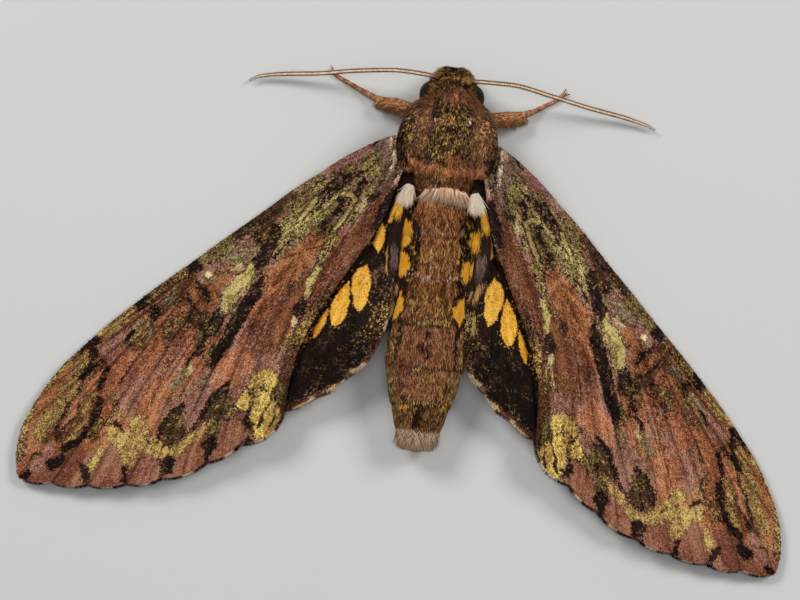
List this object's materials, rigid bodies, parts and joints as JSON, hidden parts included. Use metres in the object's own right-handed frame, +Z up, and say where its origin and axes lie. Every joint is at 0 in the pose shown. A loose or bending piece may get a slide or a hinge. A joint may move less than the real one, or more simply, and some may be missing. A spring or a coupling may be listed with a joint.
{
  "type": "hawk moth",
  "caption": "Large hawk moth resting with its patterned wings spread flat and swept back, life-size still model.",
  "frame": {"origin": "on the floor under the middle of the outline seen from above", "axes": "+X to the moth's right, +Y towards its head, +Z up"},
  "size_m": [0.1041, 0.0641, 0.0109],
  "materials": {
    "thorax_fur": "matte",
    "abdomen_fur": "matte",
    "forewing_scales": "matte",
    "hindwing_scales": "matte",
    "leg_scales": "matte",
    "eye": "glossy",
    "antenna": "satin",
    "tongue": "satin"
  },
  "bodies": {
    "root": {"head": "thorax_fur", "thorax": "thorax_fur", "proboscis": "tongue", "eye_left": "eye", "antenna_left": "antenna", "palp_left": "thorax_fur", "tegula_left": "thorax_fur", "forewing_left": "forewing_scales", "hindwing_left": "hindwing_scales", "fore_femur_left": "leg_scales", "fore_tibia_left": "leg_scales", "fore_tarsus_left": "leg_scales", "mid_femur_left": "leg_scales", "mid_tibia_left": "leg_scales", "mid_tarsus_left": "leg_scales", "hind_femur_left": "leg_scales", "hind_tibia_left": "leg_scales", "hind_tarsus_left": "leg_scales", "eye_right": "eye", "antenna_right": "antenna", "palp_right": "thorax_fur", "tegula_right": "thorax_fur", "forewing_right": "forewing_scales", "hindwing_right": "hindwing_scales", "fore_femur_right": "leg_scales", "fore_tibia_right": "leg_scales", "fore_tarsus_right": "leg_scales", "mid_femur_right": "leg_scales", "mid_tibia_right": "leg_scales", "mid_tarsus_right": "leg_scales", "hind_femur_right": "leg_scales", "hind_tibia_right": "leg_scales", "hind_tarsus_right": "leg_scales", "abdomen_1": "abdomen_fur", "abdomen_2": "abdomen_fur", "abdomen_3": "abdomen_fur", "abdomen_4": "abdomen_fur", "abdomen_5": "abdomen_fur", "abdomen_6": "abdomen_fur", "abdomen_7": "abdomen_fur"}
  },
  "joints": []
}
